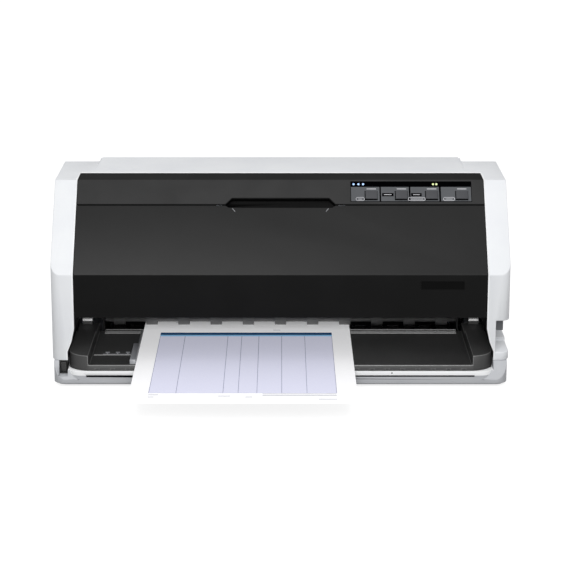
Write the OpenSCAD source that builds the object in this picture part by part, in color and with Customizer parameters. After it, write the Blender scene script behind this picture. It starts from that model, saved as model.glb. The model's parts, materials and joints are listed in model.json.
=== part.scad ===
// Flatbed dot matrix printer: casings, covers, controls, paper path and print carriage.
// All modules draw in the case frame: X to the right, Y to the rear from the front lip, Z up
// from the table.  The last lines move that frame so that the whole object is centred in Y.

/* [Case] */
// Width of the case
case_w = 480; // [440:5:520]
// Depth of the case, front lip to rear wall
case_d = 370; // [360:5:400]
// Height of the top plane above the table
shoulder_z = 205; // [195:1:215]
// Rise of the raised middle of the top above the top plane
plateau_rise = 5; // [2:0.5:8]
// Height of the top edge of the rear wall
rear_z = 168; // [160:1:172]
// Height of the rubber feet
foot_h = 3; // [2:0.5:4]
// Height of the seam between the lower and the upper case
seam_z = 26.5; // [25:0.5:27]
// Wall thickness of the moulded cases
wall = 3; // [2.5:0.25:3.5]
// Distance of the front face behind the lip
face_y = 12; // [10:0.5:14]
// Height of the crease across the front face
crease_z = 119; // [110:1:128]
// Distance of the top front edge behind the lip
brow_y = 85; // [80:1:90]
// Distance of the ridge behind the lip
ridge_y = 187; // [184:1:188]
// Radius of the front corners of the upper case
column_r = 10; // [8:1:16]
// Radius of the front corners of the lower case
base_r = 13; // [11:1:18]
// Inset of the lower case from the sides of the upper case
base_inset = 2; // [1:0.5:3]

/* [Front opening] */
// Width of each column beside the front opening
column_w = 24; // [22:0.5:27]
// Extra half width of the opening beside the sheet guide
mouth_flare = 7.5; // [6:0.5:8]
// Height of the front lip
lip_z = 18; // [17:0.5:19]
// Height of the line below the lip
groove_z = 13; // [11:0.5:14]
// Clearance between fixed parts that fit into each other
fit = 0.4; // [0.3:0.05:0.5]
// Clearance between parts that move past each other
run = 0.3; // [0.25:0.05:0.4]
// Radial clearance of a shaft in its bearing
bearing = 0.05; // [0.02:0.01:0.1]

/* [Covers] */
// Thickness of the smoked front cover
cover_t = 2.5; // [2:0.25:3]
// Height of the lower edge of the front cover
cover_z = 73; // [70:1:76]
// Distance of the front cover's pivot behind the front face
pivot_in = 12; // [10:0.5:14]
// Height of the front cover's pivot
pivot_z = 80; // [79:0.5:84]
// Radius of the front cover's pivot pins
pivot_r = 3; // [2:0.25:3.5]
// Width of the control strip on the slanted face
strip_w = 29.1; // [27:0.1:31]
// Width of the gap between front cover and control strip
strip_gap = 1.8; // [1.2:0.1:2.5]
// Depth of the control strip on the top plane
strip_top_d = 36; // [30:1:40]
// Half width of the finger recess at the gap
recess_half = 58.5; // [50:0.5:66]
// Distance of the rear cover's ends from the ends of the front opening
lid_gap = 18.6; // [12:0.2:26]
// Distance of the rear cover's rear edge from the rear wall
lid_rear = 35.4; // [30:0.1:45]
// Radius of the rear cover's hinge barrel
barrel_r = 3; // [2.5:0.25:3.5]

/* [Control panel] */
// Distance of the control panel from the opening's right end
panel_gap = 13.4; // [8:0.1:20]
// Width of the control panel
panel_w = 128.3; // [126:0.5:130]
// Height of the control panel along the slanted face
panel_h = 24.3; // [23:0.1:25]
// Distance down the slanted face of the panel's lower edge
panel_down = 26.4; // [26:0.1:27]
// Width of a key
key_w = 12.7; // [11:0.1:14]
// Height of a key
key_h = 9.6; // [8:0.1:10.5]
// Spacing of the keys
key_pitch = 32; // [30:0.5:33]
// Centre of the first key from the panel's left end
key_first = 22; // [20:0.5:22.5]
// Travel of a key
key_travel = 1.5; // [1:0.1:2]

/* [Paper path] */
// Height of the underside of the paper
paper_z = 24.3; // [24:0.1:25]
// Width of the continuous form
paper_w = 228.6; // [210:0.1:254]
// Length of the form
paper_len = 355.6; // [330:0.1:360]
// Thickness of the form
paper_t = 0.25; // [0.1:0.05:0.4]
// Length of the form that stands out in front of the lip
paper_out = 126; // [110:1:140]
// Distance of the form's left edge from the sheet guide's left end
paper_in = 71.3; // [66:0.1:76]
// Distance of the sheet guide's ends from the columns
guide_gap = 0.5; // [0.3:0.1:1]
// Distance of the sheet guide from the front feed rollers
guide_back = 4; // [2:0.5:8]
// Width of the sheet guide's side arms
arm_w = 21.6; // [18:0.1:24]
// Height of the top of the side arms
arm_z = 34; // [31:0.5:36]
// Height of the sheet guide's plate
plate_z = 21; // [20.5:0.5:22]
// Radius of the feed rollers and the platen
roller_r = 8; // [7.5:0.1:8.5]
// Radius of the pinch rollers
pinch_r = 6; // [5:0.25:6.5]
// Distance of the front feed rollers behind the lip
feed_y = 157; // [156:0.5:158]
// Spacing of front rollers, platen and rear rollers
roller_gap = 54; // [53.5:0.5:54.5]
// Width of one feed roller
roller_w = 12.5; // [10:0.5:14]
// Spacing of the feed rollers along their shaft
roller_pitch = 18; // [17:0.5:20]

/* [Mechanism] */
// Distance of the side frames from the ends of the front opening
frame_gap = 18; // [16:0.5:24]
// Thickness of the steel side frames
frame_t = 2; // [1.5:0.25:2.5]
// Height of the side frames' top edge
frame_z = 140; // [130:1:145]
// Teeth of a roller gear
roller_teeth = 16; // [13:1:17]
// Teeth of an idler gear
idler_teeth = 48; // [44:1:50]
// Teeth of the feed motor's pinion
motor_teeth = 14; // [12:1:16]
// Gear module
gear_m = 1; // [0.9:0.01:1]
// Thickness of the gears
gear_t = 5; // [4:0.5:6]
// Radius of the carriage shaft
rail_r = 6; // [5:0.25:6]
// Distance of the carriage shaft behind the lip
rail_y = 262; // [261:0.5:263]
// Height of the carriage shaft
rail_z = 70; // [69:0.5:72]
// Half width of the carriage
carriage_half = 28; // [24:0.5:29]
// Radius of the belt pulleys
pulley_r = 7.7; // [7:0.1:8]
// Distance of the belt pulleys from the side frames
pulley_gap = 30; // [27:0.5:36]
// Thickness of the drive belt
belt_t = 1.2; // [1:0.1:1.5]

/* [Hidden] */
$fn = 48;

case_half = case_w / 2;
mouth_half = case_half - column_w;
base_half = case_half - base_inset;
floor_z = foot_h + 3;
plateau_z = shoulder_z + plateau_rise;
front_shift = -(case_d + paper_out) / 2 + paper_out;

slope_run = brow_y - face_y;
slope_rise = shoulder_z - crease_z;
slope_len = sqrt(slope_run * slope_run + slope_rise * slope_rise);
slope_a = atan2(slope_rise, slope_run);
rear_fall = (shoulder_z - rear_z) / (case_d - ridge_y);
strip_low = slope_len - strip_w;
cover_top = strip_low - strip_gap;
panel_low = slope_len - panel_down;
strip_back_y = brow_y + strip_top_d;
wedge_y = strip_back_y + 9;
strip_half = mouth_half - fit;
recess_up = 7.4;
recess_down = 2.6;
recess_taper = 7;

roller_z = paper_z - run - roller_r;
platen_y = feed_y + roller_gap;
rear_y = platen_y + roller_gap;
pinch_z = paper_z + paper_t + run + pinch_r;
shaft_r = 3;
platen_core_r = 4;
pinch_shaft_r = 2.5;

mesh_r = gear_m * (roller_teeth + idler_teeth) / 2;
idler_up = sqrt(mesh_r * mesh_r - roller_gap * roller_gap / 4);
idler_a = atan2(idler_up, roller_gap / 2);
idler_z = roller_z + idler_up;
idler_front_y = feed_y + roller_gap / 2;
idler_rear_y = platen_y + roller_gap / 2;
motor_z = idler_z + gear_m * (idler_teeth + motor_teeth) / 2;
motor_r = 16;
frame_half = mouth_half - frame_gap;
gear_x = frame_half + 2;
stub_r = 3;

frame_y0 = feed_y - 9;
frame_y1 = case_d - 28;
key_y = panel_low + 7.65;
lens_y = panel_low + panel_h - 3.6;
board_in = 9;
panel_x = mouth_half - panel_gap - panel_w;
lid_half = mouth_half - lid_gap;
plateau_half = lid_half + 4;
lid_y = ridge_y + barrel_r + 0.6;
lid_len = case_d - lid_rear - lid_y;
lid_pin_r = 1.5;
lid_pin = 2;
lid_z = plateau_z - barrel_r - 1.5;
flare_top = 61;
flare_mid = 47;
flare_low = 36;
mid_flare = 0.4 * mouth_flare;
guide_half = mouth_half + mouth_flare - guide_gap;
guide_d = feed_y - roller_r - guide_back;
paper_left = paper_in - guide_half;
arm_step_y = guide_d - 45;
lever_y = feed_y - 37;
cheek_y = lever_y - 6;
lever_z = 66.5;
lever_pin_r = 2.5;
well_x = mouth_half + mouth_flare + 2;
well_z0 = 35.5;
well_z1 = 69.5;
well_y1 = lever_y - 14;
lever_x0 = well_x + 1.7;
lever_x1 = case_half - wall - 1.5;
belt_y = rail_y + 27;
belt_z = rail_z - 4;
belt_h = 5;
can_h = 44;
can_r = 14;
pulley_half = frame_half - pulley_gap;
park_x = carriage_half - pulley_half;
pulley_pin_r = 2;
head_y = platen_y;
head_half = 18;
front_rail_y = head_y - 30;
tape_z = paper_z + paper_t + 0.45;
tape_t = 0.2;
tape_w = 13;
tape_half = frame_half - 16;
cartridge_z = 92;
cartridge_h = 24;
cartridge_half = frame_half - 26;
cartridge_y0 = platen_y - 93;
cartridge_y1 = platen_y - 39;
knob_x = cartridge_half - 22;
knob_y = cartridge_y0 + 27;
knob_r = 9;
knob_pin_r = 3;
switch_x = 12.2 - case_half;
switch_half = 4.2;
switch_y = face_y + 1;
switch_z = (groove_z + seam_z - 0.7) / 2;
rocker_pin_r = 1;
board_gap = 28;
slot_half = frame_half - board_gap - 20;
slot_z = [60, 84];
panel_half = slot_half + 26;
panel_top = slot_z[1] + 8;
inlet_x = [frame_half - board_gap - 30, frame_half - board_gap];
inlet_z = [28, 50];
parallel_x = [board_gap + 100 - frame_half, board_gap + 160 - frame_half];
usb_x = [board_gap + 180 - frame_half, board_gap + 194 - frame_half];
port_z = [30, 42];
board_y = frame_y1 + 5.5;
screw_x = [-slot_half, slot_half];
screw_y = [feed_y + 27, rear_y - 17];
screw_r = 2;
foot_r = 9;
foot_x = [35 - case_half, case_half - 35];
foot_y = [34, case_d - 34];

// ---------- shared shapes ----------

function arc(c, r, a0, a1, n = 12) =
    [for (i = [0:n]) c + r * [cos(a0 + (a1 - a0) * i / n), sin(a0 + (a1 - a0) * i / n)]];

function round_rect(half, y0, y1, rf, rr) = concat(
    arc([-half + rf, y0 + rf], rf, 180, 270),
    arc([half - rf, y0 + rf], rf, 270, 360),
    arc([half - rr, y1 - rr], rr, 0, 90),
    arc([-half + rr, y1 - rr], rr, 90, 180));

function unit(v) = v / norm(v);
function inward(a, b) = let (d = unit(b - a)) [-d[1], d[0]];
function inset_point(p, i, t) =
    let (n = len(p),
         a = inward(p[(i + n - 1) % n], p[i]),
         b = inward(p[i], p[(i + 1) % n]))
    p[i] + t * (a + b) / (1 + a * b);
function inset(p, t) = [for (i = [0:len(p) - 1]) inset_point(p, i, t)];

// extrudes a Y-Z outline from x0 to x1
module across(x0, x1) {
    translate([x0, 0, 0]) rotate([90, 0, 90]) linear_extrude(x1 - x0) children();
}

// extrudes an X-Z outline from y0 to y1
module along_y(y0, y1) {
    translate([0, y1, 0]) rotate([90, 0, 0]) linear_extrude(y1 - y0) children();
}

// extrudes a plan outline from z0 to z1
module slab(points, z0, z1) {
    translate([0, 0, z0]) linear_extrude(z1 - z0) polygon(points);
}

module block(lo, hi) {
    translate(lo) cube(hi - lo);
}

// round bar along X at (y, z)
module rod(x0, x1, y, z, r) {
    translate([x0, y, z]) rotate([0, 90, 0]) cylinder(h = x1 - x0, r = r);
}

// local frame on the slanted face: x across, y up the slope, z outward
module on_slope() {
    translate([0, face_y, crease_z]) rotate([slope_a, 0, 0]) children();
}

module mirrored() {
    children();
    mirror([1, 0, 0]) children();
}

// half height angles of one straight-sided tooth
function tooth(r, teeth, a) =
    let (p = 360 / teeth, tip = r + 0.8 * gear_m, root = r - 1.15 * gear_m)
    [[root, a - 0.31 * p], [tip, a - 0.1 * p], [tip, a + 0.1 * p], [root, a + 0.31 * p]];

module gear(teeth, y, z, phase, bore) {
    r = gear_m * teeth / 2;
    polar = [for (i = [0:teeth - 1]) each tooth(r, teeth, phase + 360 * i / teeth)];
    across(gear_x, gear_x + gear_t) difference() {
        translate([y, z]) polygon([for (p = polar) p[0] * [cos(p[1]), sin(p[1])]]);
        translate([y, z]) circle(bore);
    }
}

// phase of a gear that meshes with another one lying at angle a from it
function meshed(a, phase, teeth, next) = a + 180 + 180 / next - (phase - a) * teeth / next;

phase_front = meshed(idler_a, 0, roller_teeth, idler_teeth);
phase_platen = meshed(-idler_a, phase_front, idler_teeth, roller_teeth);
phase_rear = meshed(idler_a, phase_platen, roller_teeth, idler_teeth);
phase_rear_roller = meshed(-idler_a, phase_rear, idler_teeth, roller_teeth);
phase_motor = meshed(90, phase_rear, idler_teeth, motor_teeth);

// rollers on a shaft, each its own solid
module roller_row(y, z, r, bore, pitch) {
    side = floor((frame_half - frame_t - roller_w) / pitch);
    for (i = [-side:side]) {
        x = i * pitch;
        difference() {
            rod(x - roller_w / 2, x + roller_w / 2, y, z, r);
            rod(x - roller_w, x + roller_w, y, z, bore);
        }
    }
}

// ---------- casings ----------

module base_case() {
    color("gainsboro") difference() {
        union() {
            difference() {
                union() {
                    slab(round_rect(base_half, 0, case_d - 1, base_r, 12), foot_h + 1.5, seam_z);
                    slab(round_rect(base_half - 3, 3, case_d - 4, base_r - 3, 9),
                         foot_h, foot_h + 1.6);
                }
                slab(round_rect(base_half - wall, wall, case_d - 1 - wall, base_r - wall, 9),
                     floor_z, seam_z + 1);
            }
            // deck round the sheet guide's front corners
            difference() {
                slab(round_rect(base_half - 1, 1, 40, base_r - 1, 1), floor_z - 0.5, seam_z);
                slab(round_rect(guide_half + fit, wall, 60, 24 + fit, 1), 0, seam_z + 1);
            }
            // ribs that carry the sheet guide
            for (y = [22, guide_d - 25]) {
                block([23 - guide_half, y, floor_z - 0.5], [guide_half - 23, y + 2, plate_z - 3]);
            }
            // ledges under the sheet guide's arms
            mirrored() block([guide_half - 17, 40, floor_z - 0.5],
                             [guide_half - 15, arm_step_y - 10, arm_z - wall]);
        }
        // the feet of the columns lean back from the lip to the seam
        difference() {
            across(-case_half, case_half) polygon([
                [-1, groove_z - 4], [0, groove_z - 4], [face_y, seam_z],
                [face_y, seam_z + 1], [-1, seam_z + 1]
            ]);
            slab(round_rect(mouth_half + mouth_flare, 0, 60, 14, 1), 0, seam_z + 2);
        }
        // the lip is lower than the seam between the columns
        block([-mouth_half - mouth_flare, -1, lip_z], [mouth_half + mouth_flare, 42, seam_z + 1]);
        block([20 - guide_half, -1, groove_z - 0.7], [guide_half - 20, 1.2, groove_z + 0.6]);
        // pocket of the power switch
        block([switch_x - switch_half - fit, -1, groove_z - 0.5 - fit],
              [switch_x + switch_half + fit, switch_y + 11 + fit, seam_z + 1]);
        for (x = screw_x, y = screw_y) translate([x, y, 0]) {
            cylinder(h = seam_z, r = screw_r + 0.1);
            cylinder(h = foot_h + 1.6, r = 2 * screw_r + 0.3);
        }
        for (x = foot_x, y = foot_y) translate([x, y, foot_h - 1]) {
            cylinder(h = 1.8, r = foot_r - 3);
        }
    }
}

case_profile = [
    [face_y, seam_z], [case_d, seam_z], [case_d, rear_z],
    [ridge_y, shoulder_z], [brow_y, shoulder_z], [face_y, crease_z]
];

module case_solid(t) {
    intersection() {
        across(-case_half + t, case_half - t) polygon(inset(case_profile, t));
        slab(round_rect(case_half - t, face_y + t, case_d - t, column_r - t, 12 - t),
             -1, shoulder_z + 20);
    }
}

mouth_edge = [
    [mouth_half, shoulder_z + 20], [mouth_half, flare_top], [mouth_half + mid_flare, flare_mid],
    [mouth_half + mouth_flare, flare_low], [mouth_half + mouth_flare, seam_z - 1]
];

module mouth_solid() {
    along_y(-1, strip_back_y + fit) polygon(concat(
        mouth_edge, [for (i = [4:-1:0]) [-mouth_edge[i][0], mouth_edge[i][1]]]));
}

// inner wall of the right column
module cheek() {
    w = wall - 0.5;
    intersection() {
        along_y(0, cheek_y) polygon([
            [mouth_half, shoulder_z - 1], [mouth_half, flare_top],
            [mouth_half + mid_flare, flare_mid], [mouth_half + mouth_flare, flare_low],
            [mouth_half + mouth_flare, seam_z], [mouth_half + mouth_flare + w, seam_z],
            [mouth_half + mouth_flare + w, flare_low + 1],
            [mouth_half + mid_flare + w, flare_mid + 1], [mouth_half + w, flare_top + 0.5],
            [mouth_half + w, shoulder_z - 1]
        ]);
        case_solid(0);
    }
}

module lever_well() {
    intersection() {
        block([well_x - 1.2, face_y, well_z0 - 2], [case_half, well_y1 + 2, well_z1 + 2]);
        case_solid(0);
    }
}

module hinge_ear() {
    x0 = lid_half + fit;
    x1 = x0 + lid_pin + 0.5;
    rod(x0, x1, lid_y, lid_z, lid_pin_r + 1.1);
    block([x0, lid_y - lid_pin_r - 1.1, shoulder_z - 4], [x1, lid_y + lid_pin_r + 1.1, lid_z]);
}

module connector_hole(x, z) {
    block([x[0] - fit, case_d - 8, z[0] - fit], [x[1] + fit, case_d + 1, z[1] + fit]);
}

module top_case() {
    color("whitesmoke") difference() {
        union() {
            difference() {
                case_solid(0);
                case_solid(wall);
                translate([0, 0, -wall - 1]) intersection() {
                    case_solid(wall);
                    block([-case_half, 0, 0], [case_half, case_d, 2 * seam_z]);
                }
                mouth_solid();
                block([-lid_half - fit, ridge_y, rear_z - 20],
                      [lid_half + fit, lid_y + lid_len + 1, plateau_z + 1]);
            }
            mirrored() cheek();
            lever_well();
            mirrored() hinge_ear();
            // raised middle of the top, level with the ridge
            intersection() {
                across(-plateau_half, plateau_half) polygon([
                    [wedge_y, shoulder_z - 1], [ridge_y, shoulder_z - 1],
                    [ridge_y, plateau_z], [wedge_y, shoulder_z]
                ]);
                along_y(wedge_y, ridge_y) polygon([
                    [-plateau_half, shoulder_z - 1], [plateau_half, shoulder_z - 1],
                    [plateau_half, shoulder_z], [lid_half, plateau_z],
                    [-lid_half, plateau_z], [-plateau_half, shoulder_z]
                ]);
            }
            // ledge under the rear edge of the rear cover
            block([-lid_half, lid_y + lid_len - 4, rear_lid_z - 4.2],
                  [lid_half, lid_y + lid_len + 6, rear_lid_z - run]);
        }
        // well of the release lever, open at the front and the side
        difference() {
            block([well_x, -1, well_z0], [case_half + 1, well_y1, well_z1]);
            block([well_x - 1, well_y1 / 2 + 2, well_z0 - 1],
                  [case_half + 2, well_y1 + 1, well_z0 + 4]);
        }
        // pivots of the rear cover
        rod(-lid_half - 5, lid_half + 5, lid_y, lid_z, lid_pin_r + bearing);
        // slot of the release lever through the well's back
        block([well_x + 1, well_y1 - 1, lever_z - 14], [case_half - wall - 1, well_y1 + 3, well_z1]);
        // pivots of the front cover
        rod(-mouth_half - 5, mouth_half + 5, face_y + pivot_in, pivot_z, pivot_r + bearing);
        // opening that the rear panel closes
        block([-panel_half - run, case_d - 8, seam_z - 1],
              [panel_half + run, case_d + 1, panel_top + run]);
        // vents in both sides
        for (i = [0:9]) {
            block([-case_half - 1, frame_y1 - 117 + 9 * i, rail_z - 20],
                  [case_half + 1, frame_y1 - 114 + 9 * i, rail_z + 30]);
        }
    }
}

// rear paper slot and the connectors' holes
module rear_panel() {
    color("whitesmoke") difference() {
        block([-panel_half, case_d - wall, seam_z], [panel_half, case_d, panel_top]);
        block([-slot_half, case_d - 8, slot_z[0]], [slot_half, case_d + 1, slot_z[1]]);
        connector_hole(parallel_x, port_z);
        connector_hole(usb_x, port_z);
        connector_hole(inlet_x, inlet_z);
    }
}

rear_lid_z = rear_z + rear_fall * (case_d - lid_y - lid_len) - 2.4;

module strip_profile() {
    s = slope_len;
    low = [face_y + strip_low / s * slope_run, crease_z + strip_low / s * slope_rise];
    n = [sin(slope_a), -cos(slope_a)];
    polygon([
        low, low + wall * n, [brow_y + wall * tan(slope_a / 2), shoulder_z - wall],
        [strip_back_y, shoulder_z - wall], [strip_back_y, shoulder_z], [brow_y, shoulder_z]
    ]);
}

module recess_cut(half, y0, y1, z0, z1) {
    translate([0, 0, z0]) linear_extrude(z1 - z0) polygon([
        [-half, y0], [half, y0], [half - recess_taper, y1], [-half + recess_taper, y1]
    ]);
}

module key_windows(grow, z0, z1) {
    for (i = [0:3]) {
        x = panel_x + key_first + key_pitch * i;
        block([x - key_w / 2 - grow, key_y - key_h / 2 - grow, z0],
              [x + key_w / 2 + grow, key_y + key_h / 2 + grow, z1]);
    }
}

module control_strip() {
    color("#3c3c3c") difference() {
        union() {
            across(-strip_half, strip_half) strip_profile();
            // bosses for the button board
            on_slope() for (x = [panel_x + 3, panel_x + panel_w - 3]) {
                block([x - 2, key_y - 4, -board_in], [x + 2, key_y + 4, -wall + 0.1]);
            }
        }
        on_slope() {
            recess_cut(recess_half, strip_low - 0.1, strip_low + recess_up, -7.5, 1);
            key_windows(run, -wall - 1, 1);
            for (x = lens_x) translate([x, lens_y, -wall - 1]) cylinder(h = wall + 2, r = 1.2);
        }
    }
}

// closes the finger recess from behind
module finger_tray() {
    color("#202020") on_slope() difference() {
        block([-recess_half - 3, strip_low - 12, -9],
              [recess_half + 3, strip_low + recess_up + 3, -wall]);
        recess_cut(recess_half, strip_low - 0.1, strip_low + recess_up, -7.5, 1);
        block([-recess_half, strip_low - 10, -7.5], [recess_half, strip_low, 1]);
        block([-recess_half - 4, strip_low - 13, -cover_t - run],
              [recess_half + 4, strip_low, 1]);
    }
}

lens_x = [panel_x + 3.3, panel_x + 8.4, panel_x + 13.4, panel_x + 87.7, panel_x + 91.2];

module control_overlay() {
    color("#6c6c70") on_slope() difference() {
        block([panel_x, panel_low, 0], [panel_x + panel_w, panel_low + panel_h, 0.5]);
        key_windows(run, -1, 2);
        for (x = lens_x) translate([x, lens_y, -1]) cylinder(h = 3, r = 1.2);
    }
}

module indicator_lenses() {
    color("lightskyblue") on_slope() for (x = lens_x) {
        translate([x, lens_y, -board_in]) cylinder(h = board_in + 0.8, r = 1.15);
    }
}

module button_board() {
    color("darkgreen") on_slope() {
        block([panel_x, key_y - 7, -board_in - 1.6], [panel_x + panel_w, lens_y + 3, -board_in]);
    }
}

module key(i) {
    x = panel_x + key_first + key_pitch * i;
    color("#808084") on_slope() {
        block([x - key_w / 2, key_y - key_h / 2, -2], [x + key_w / 2, key_y + key_h / 2, 1.8]);
        block([x - 2.5, key_y - 2.5, -board_in + key_travel + run], [x + 2.5, key_y + 2.5, -1.9]);
    }
}

// ---------- covers ----------

module cover_profile(t0, t1, y1) {
    k = tan((90 - slope_a) / 2);
    top = y1 / slope_len * [slope_run, slope_rise] + [face_y, crease_z];
    n = [sin(slope_a), -cos(slope_a)];
    polygon([
        [face_y + t0, cover_z], [face_y + t1, cover_z], [face_y + t1, crease_z - t1 * k],
        top + t1 * n, top + t0 * n, [face_y + t0, crease_z - t0 * k]
    ]);
}

module front_cover() {
    color("#2a2a2ac0") union() {
        difference() {
            across(-mouth_half + fit, mouth_half - fit) cover_profile(0, cover_t, cover_top);
            on_slope() recess_cut(recess_half - recess_taper, cover_top - recess_down,
                                  cover_top + 0.1, -5, 1);
            on_slope() translate([0, 0, -5]) linear_extrude(6) polygon([
                [-recess_half, cover_top + 0.1], [recess_half, cover_top + 0.1],
                [recess_half - 4, cover_top - recess_down],
                [-recess_half + 4, cover_top - recess_down]
            ]);
        }
        mirrored() {
            // stiffening strip behind each end
            across(mouth_half - 19, mouth_half - 7) {
                cover_profile(cover_t - 0.1, cover_t + 1.5, cover_top - 6);
            }
            // pivot lug and pin
            across(mouth_half - fit - 3, mouth_half - fit) polygon([
                [face_y + cover_t - 0.1, cover_z], [face_y + pivot_in + 2, cover_z],
                [face_y + pivot_in + 5, pivot_z], [face_y + cover_t - 0.1, pivot_z + 14]
            ]);
            rod(mouth_half - fit - 1, mouth_half + 2, face_y + pivot_in, pivot_z, pivot_r);
        }
    }
}

module cover_badge() {
    color("black") block([mouth_half - 69.5, face_y - 0.6, crease_z - 15],
                         [mouth_half - 24.5, face_y, crease_z - 6.8]);
}

module rear_cover() {
    fall = lid_z + barrel_r - rear_lid_z - 3;
    color("whitesmoke") {
        rod(-lid_half, lid_half, lid_y, lid_z, barrel_r);
        across(-lid_half, lid_half) polygon([
            [lid_y, lid_z + barrel_r], [lid_y, lid_z], [lid_y + lid_len, rear_lid_z],
            [lid_y + lid_len, lid_z + barrel_r - fall]
        ]);
        rod(-lid_half - fit - lid_pin, lid_half + fit + lid_pin, lid_y, lid_z, lid_pin_r);
    }
}

// ---------- sheet guide and hand controls ----------

module sheet_guide() {
    arm_x = guide_half - arm_w;
    y0 = wall + fit;
    color("#1c1c1c") difference() {
        intersection() {
            slab(round_rect(guide_half, y0, guide_d, 24, 1), 0, arm_z + 1);
            union() {
                block([-guide_half, 0, plate_z - 3], [guide_half, guide_d, plate_z]);
                block([-guide_half, 0, plate_z - 3], [guide_half, y0 + 4, paper_z - run]);
                mirrored() {
                    block([arm_x, 0, plate_z - 3], [guide_half, arm_step_y, arm_z]);
                    block([arm_x, arm_step_y - 1, plate_z - 3], [guide_half, guide_d, arm_z - 4]);
                }
                block([6.4 - arm_x, guide_d - 12, plate_z - 1],
                      [arm_x - 6.4, guide_d - 10, plate_z + 1.5]);
                block([6.4 - arm_x, guide_d - 4, plate_z - 1],
                      [arm_x - 6.4, guide_d - 2, paper_z - run - 0.3]);
            }
        }
        mirrored() block([arm_x + wall, y0 + 16, 0], [guide_half - wall, guide_d - 3, arm_z - 7]);
        mirrored() block([arm_x + wall, y0 + 16, 0],
                         [guide_half - wall, arm_step_y - wall, arm_z - wall]);
        // notches along the front rim
        for (i = [-12:12]) {
            block([16 * i - 2, 0, plate_z - 4], [16 * i + 2, y0 + 1.4, plate_z - 1.2]);
        }
        // slot of the edge guide
        block([paper_left - 48, 48, 0], [paper_left + 4, 52, plate_z + 1]);
    }
}

module stop_blocks() {
    color("silver") mirrored() block([guide_half - 14, guide_d - 6, arm_z - 4],
                                     [guide_half - 3, guide_d, arm_z + 2.5]);
}

module edge_guide() {
    x1 = paper_left - run;
    color("#55565a") {
        block([x1 - 2, 20, plate_z + run], [x1, guide_d - 15, plate_z + 5.4]);
        block([x1 - 6.5, 10, plate_z + run], [x1, 72, plate_z + 7]);
        block([x1 - 5, 48 + run, plate_z - 4], [x1 - 1, 52 - run, plate_z + run + 1]);
    }
}

module power_switch() {
    half = switch_half - 1;
    color("#151515") difference() {
        block([switch_x - switch_half, switch_y - 1, groove_z - 0.5],
              [switch_x + switch_half, switch_y + 11, seam_z - 0.2]);
        block([switch_x - half, switch_y - 2, groove_z + 0.5],
              [switch_x + half, switch_y + 2.6, seam_z - 1.2]);
        rod(switch_x - half - 0.8, switch_x + half + 0.8, switch_y, switch_z,
            rocker_pin_r + bearing);
    }
}

module power_rocker() {
    half_x = switch_half - 1 - run;
    half_z = (seam_z - groove_z - 1.7) / 2 - 2 * run;
    color("#303030") {
        block([switch_x - half_x, switch_y - 1.8, switch_z - half_z],
              [switch_x + half_x, switch_y + 1.4, switch_z + half_z]);
        rod(switch_x - half_x - 0.7, switch_x + half_x + 0.7, switch_y, switch_z, rocker_pin_r);
    }
}

module release_lever() {
    color("#6b6d70") difference() {
        union() {
            across(lever_x0, lever_x1) polygon([
                [face_y + 22, well_z1 - 1], [face_y + 22, well_z1 - 16],
                [face_y + 28, well_z1 - 18], [face_y + 48, well_z1 - 13], [lever_y, lever_z - 4],
                [lever_y, lever_z + 1], [face_y + 48, well_z1 - 2.5], [face_y + 38, well_z1 - 1]
            ]);
            rod(lever_x0, lever_x1, lever_y, lever_z, lever_pin_r + 3.5);
        }
        rod(lever_x0 - 1, lever_x1 + 1, lever_y, lever_z, lever_pin_r + bearing);
    }
}

module rubber_feet() {
    color("#222222") for (x = foot_x, y = foot_y) translate([x, y, 0]) {
        cylinder(h = foot_h, r = foot_r);
        cylinder(h = foot_h + 0.6, r = foot_r - 3.2);
    }
}

// ---------- chassis ----------

module chassis_plate() {
    color("silver") difference() {
        block([-frame_half + frame_t, frame_y0 + 2, floor_z],
              [frame_half - frame_t, frame_y1, floor_z + 1.5]);
        for (x = screw_x, y = screw_y) translate([x, y, 0]) {
            cylinder(h = 20, r = screw_r + 0.1);
        }
    }
}

module chassis_screws() {
    color("dimgray") for (x = screw_x, y = screw_y) translate([x, y, 0]) {
        translate([0, 0, foot_h + 0.2]) cylinder(h = 1.4, r = 2 * screw_r);
        translate([0, 0, foot_h + 1.5]) cylinder(h = floor_z + 1 - foot_h, r = screw_r);
    }
}

module frame_outline() {
    polygon([
        [frame_y0, floor_z], [frame_y1, floor_z], [frame_y1, frame_z],
        [frame_y1 - 42, frame_z], [frame_y1 - 57, rail_z + 30], [platen_y + 14, rail_z + 30],
        [platen_y + 4, cartridge_z], [frame_y0 - 8, cartridge_z], [frame_y0 - 8, pinch_z + 9],
        [frame_y0, pinch_z + 5]
    ]);
}

module frame_plate() {
    difference() {
        across(frame_half - frame_t, frame_half) frame_outline();
        for (y = [feed_y, rear_y]) {
            rod(frame_half - 5, frame_half + 5, y, roller_z, shaft_r + bearing);
            rod(frame_half - 5, frame_half + 5, y, pinch_z, pinch_shaft_r + bearing);
        }
        rod(frame_half - 5, frame_half + 5, platen_y, roller_z, platen_core_r + bearing);
        rod(frame_half - 5, frame_half + 5, rail_y, rail_z, rail_r);
    }
}

module side_frame_left() {
    color("silver") mirror([1, 0, 0]) frame_plate();
}

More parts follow.
